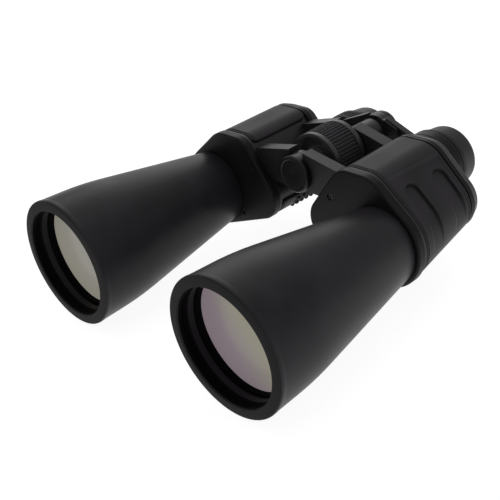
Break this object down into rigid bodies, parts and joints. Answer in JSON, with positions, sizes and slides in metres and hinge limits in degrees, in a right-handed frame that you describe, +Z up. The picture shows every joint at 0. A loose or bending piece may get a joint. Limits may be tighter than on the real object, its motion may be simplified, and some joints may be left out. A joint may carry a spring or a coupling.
{
  "type": "binoculars",
  "caption": "Large porro-prism binoculars with wide objective barrels, centre hinge with focus wheel, rubber armour and stepped eyepieces with eyecups.",
  "frame": {"origin": "middle of the base of the bounding box, on the surface that the two front rims touch", "axes": "+Z up, +Y from the objective rims back to the eyecups, +X towards the user's left half"},
  "size_m": [0.1976, 0.2178, 0.0763],
  "materials": {
    "barrel_coating": "satin",
    "body_coating": "satin",
    "collar_coating": "satin",
    "wheel_coating": "satin",
    "inner_black": "matte",
    "armour_rubber": "matte",
    "eyecup_rubber": "matte",
    "cap_plastic": "satin",
    "coated_glass": "polished",
    "clear_glass": "polished",
    "bare_aluminium": "satin",
    "steel": "machined",
    "black_steel": "satin",
    "brass": "machined"
  },
  "bodies": {
    "left_half": {"left_objective_barrel": "barrel_coating", "left_lens_retaining_ring": "inner_black", "left_objective_crown_lens": "coated_glass", "left_objective_flint_lens": "clear_glass", "left_lens_spacer_ring": "inner_black", "left_barrel_baffle": "inner_black", "left_front_cover": "body_coating", "left_prism_housing": "body_coating", "left_rubber_armour": "armour_rubber", "left_prism_shelf": "bare_aluminium", "left_objective_prism": "clear_glass", "left_objective_prism_strap": "steel", "left_eyepiece_prism": "clear_glass", "left_eyepiece_prism_strap": "steel", "left_rear_cover": "body_coating", "left_cover_screws": "black_steel", "hinge_axle": "steel", "tripod_bush": "brass", "wheel_spacer_sleeve": "steel", "wheel_thrust_washer": "brass"},
    "right_half": {"right_objective_barrel": "barrel_coating", "right_lens_retaining_ring": "inner_black", "right_objective_crown_lens": "coated_glass", "right_objective_flint_lens": "clear_glass", "right_lens_spacer_ring": "inner_black", "right_barrel_baffle": "inner_black", "right_front_cover": "body_coating", "right_prism_housing": "body_coating", "right_rubber_armour": "armour_rubber", "right_prism_shelf": "bare_aluminium", "right_objective_prism": "clear_glass", "right_objective_prism_strap": "steel", "right_eyepiece_prism": "clear_glass", "right_eyepiece_prism_strap": "steel", "right_rear_cover": "body_coating", "right_cover_screws": "black_steel"},
    "focus_wheel": {"focus_wheel": "wheel_coating", "focus_wheel_grip": "eyecup_rubber"},
    "focus_shaft": {"focus_shaft": "steel", "bridge_end_cap": "cap_plastic"},
    "left_eyepiece": {"left_bridge_arm": "body_coating", "left_eyepiece_tube": "bare_aluminium", "left_eyepiece_collar": "collar_coating", "left_field_lens": "clear_glass", "left_ocular_cell": "inner_black", "left_eye_lens": "coated_glass", "left_eyecup": "eyecup_rubber"},
    "right_eyepiece": {"right_bridge_arm": "body_coating", "right_eyepiece_tube": "bare_aluminium"},
    "dioptre_ring": {"right_dioptre_ring": "collar_coating"},
    "right_ocular": {"right_field_lens": "clear_glass", "right_ocular_cell": "inner_black", "right_eye_lens": "coated_glass", "right_eyecup": "eyecup_rubber"},
    "tripod_cap": {"tripod_cap": "cap_plastic"}
  },
  "joints": [
    {"name": "fold", "type": "hinge", "parent": "left_half", "child": "right_half", "pos_m": [0, 0, 0.0586], "axis": [0, 1, 0], "range_deg": [-8, 34]},
    {"name": "focus_turn", "type": "hinge", "parent": "left_half", "child": "focus_wheel", "pos_m": [0, 0, 0.0586], "axis": [0, 1, 0], "range_deg": [-90, 270]},
    {"name": "shaft_slide", "type": "slide", "parent": "left_half", "child": "focus_shaft", "axis": [0, 1, 0], "range_m": [-0.002, 0.006]},
    {"name": "left_focus_slide", "type": "slide", "parent": "left_half", "child": "left_eyepiece", "axis": [0, 1, 0], "range_m": [-0.002, 0.006]},
    {"name": "right_focus_slide", "type": "slide", "parent": "right_half", "child": "right_eyepiece", "axis": [0, 1, 0], "range_m": [-0.002, 0.006]},
    {"name": "dioptre_turn", "type": "hinge", "parent": "right_eyepiece", "child": "dioptre_ring", "pos_m": [-0.0298, 0, 0.0378], "axis": [0, 1, 0], "range_deg": [-90, 90]},
    {"name": "dioptre_slide", "type": "slide", "parent": "right_eyepiece", "child": "right_ocular", "axis": [0, 1, 0], "range_m": [-0.0015, 0.0015]},
    {"name": "tripod_cap_pull", "type": "slide", "parent": "left_half", "child": "tripod_cap", "axis": [0, -1, 0], "range_m": [0, 0.04]}
  ],
  "couplings": [
    {"joint": "shaft_slide", "follows": "focus_turn", "m_per_rad": 0.0012732},
    {"joint": "left_focus_slide", "follows": "focus_turn", "m_per_rad": 0.0012732},
    {"joint": "right_focus_slide", "follows": "focus_turn", "m_per_rad": 0.0012732},
    {"joint": "dioptre_slide", "follows": "dioptre_turn", "m_per_rad": 0.00095493}
  ]
}
